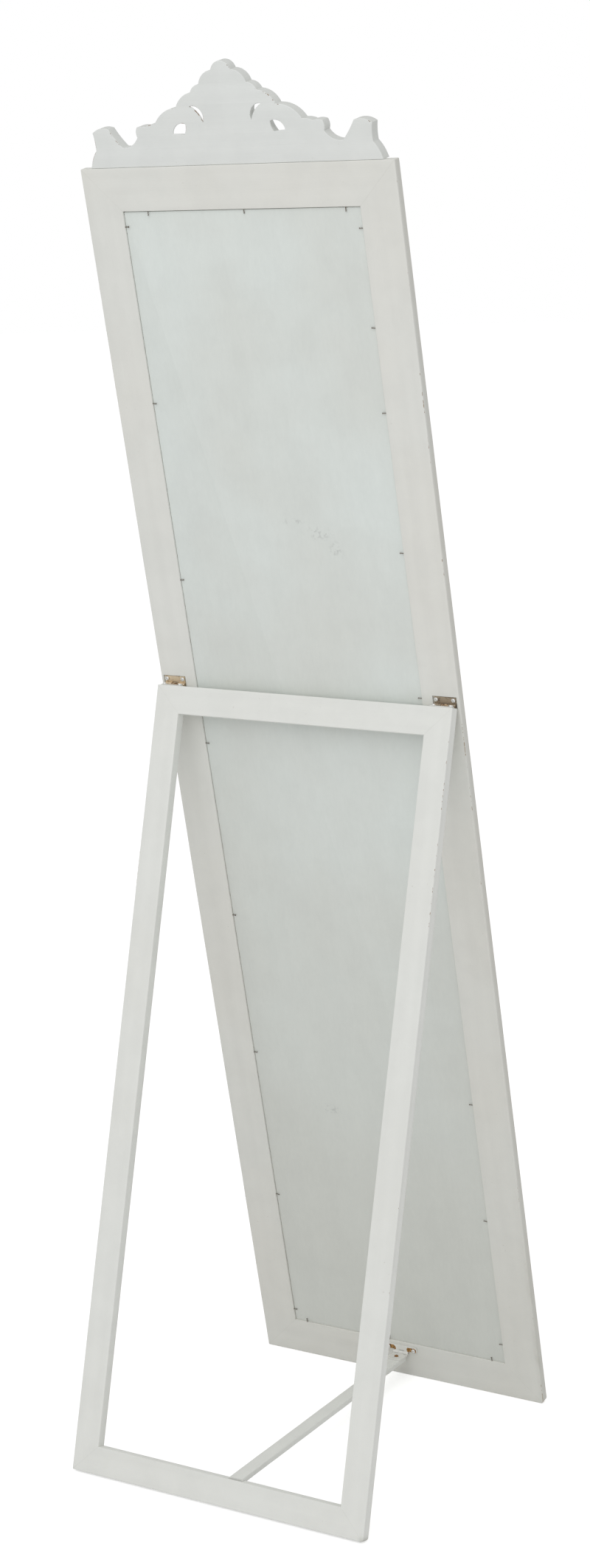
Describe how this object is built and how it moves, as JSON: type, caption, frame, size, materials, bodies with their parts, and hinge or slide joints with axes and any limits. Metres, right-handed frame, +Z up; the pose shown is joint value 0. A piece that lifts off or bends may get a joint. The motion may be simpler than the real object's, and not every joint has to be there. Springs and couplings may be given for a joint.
{
  "type": "cheval floor mirror",
  "caption": "Tall leaning floor mirror in a mitred painted frame with a pierced crest, a hinged rear stand and a folding prop brace.",
  "frame": {"origin": "floor level under the middle of the overall box", "axes": "+Z up; the glass faces -Y, the stand is on the +Y side, X runs across the width"},
  "size_m": [0.45, 0.5101, 1.8109],
  "materials": {
    "white_paint": "brushed off-white paint, satin",
    "backing_board": "thinly painted hardboard, matt",
    "mirror_glass": "silvered glass, polished",
    "brass_plate": "brass-plated steel, aged",
    "zinc_screw": "zinc plated",
    "dark_steel": "dull dark steel",
    "raw_wood": "bare"
  },
  "bodies": {
    "mirror": {"mirror_stile_left": "white_paint", "mirror_stile_right": "white_paint", "mirror_rail_top": "white_paint", "mirror_rail_bottom": "white_paint", "mirror_glass": "mirror_glass", "backing_board": "backing_board", "brad_left_1": "dark_steel", "brad_left_2": "dark_steel", "brad_left_3": "dark_steel", "brad_left_4": "dark_steel", "brad_left_5": "dark_steel", "brad_left_6": "dark_steel", "brad_left_7": "dark_steel", "brad_left_8": "dark_steel", "brad_right_1": "dark_steel", "brad_right_2": "dark_steel", "brad_right_3": "dark_steel", "brad_right_4": "dark_steel", "brad_right_5": "dark_steel", "brad_right_6": "dark_steel", "brad_right_7": "dark_steel", "brad_right_8": "dark_steel", "brad_top_1": "dark_steel", "brad_top_2": "dark_steel", "brad_top_3": "dark_steel", "brad_bottom_1": "dark_steel", "brad_bottom_2": "dark_steel", "brad_bottom_3": "dark_steel", "crest_board": "white_paint", "crest_dowel_left": "raw_wood", "crest_dowel_right": "raw_wood", "crest_shell": "white_paint", "crest_scroll_left": "white_paint", "crest_scroll_right": "white_paint", "frame_leaf_left": "brass_plate", "frame_leaf_right": "brass_plate", "butt_pin_left": "brass_plate", "butt_pin_right": "brass_plate", "frame_screw_left_outer": "zinc_screw", "frame_screw_left_inner": "zinc_screw", "frame_screw_right_outer": "zinc_screw", "frame_screw_right_inner": "zinc_screw", "t_hinge_cross": "brass_plate", "t_hinge_pin": "brass_plate", "t_hinge_screw_left": "zinc_screw", "t_hinge_screw_right": "zinc_screw"},
    "stand": {"stand_stile_left": "white_paint", "stand_stile_right": "white_paint", "stand_rail_top": "white_paint", "stand_rail_bottom": "white_paint", "stand_leaf_left": "brass_plate", "stand_leaf_right": "brass_plate", "stand_screw_left_outer": "zinc_screw", "stand_screw_left_inner": "zinc_screw", "stand_screw_right_outer": "zinc_screw", "stand_screw_right_inner": "zinc_screw"},
    "brace": {"brace_bar": "white_paint", "brace_peg": "raw_wood", "t_hinge_strap": "brass_plate", "strap_screw": "zinc_screw"}
  },
  "joints": [
    {"name": "stand_fold", "type": "hinge", "parent": "mirror", "child": "stand", "pos_m": [0, -0.01402, 1.01698], "axis": [-1, 0, 0], "range_deg": [0, 26.5]},
    {"name": "brace_fold", "type": "hinge", "parent": "mirror", "child": "brace", "pos_m": [-0.005, -0.22917, 0.03681], "axis": [1, 0, 0], "range_deg": [0, 76.5]}
  ],
  "couplings": [
    {"joint": "brace_fold", "follows": "stand_fold", "ratio": 2.883}
  ]
}
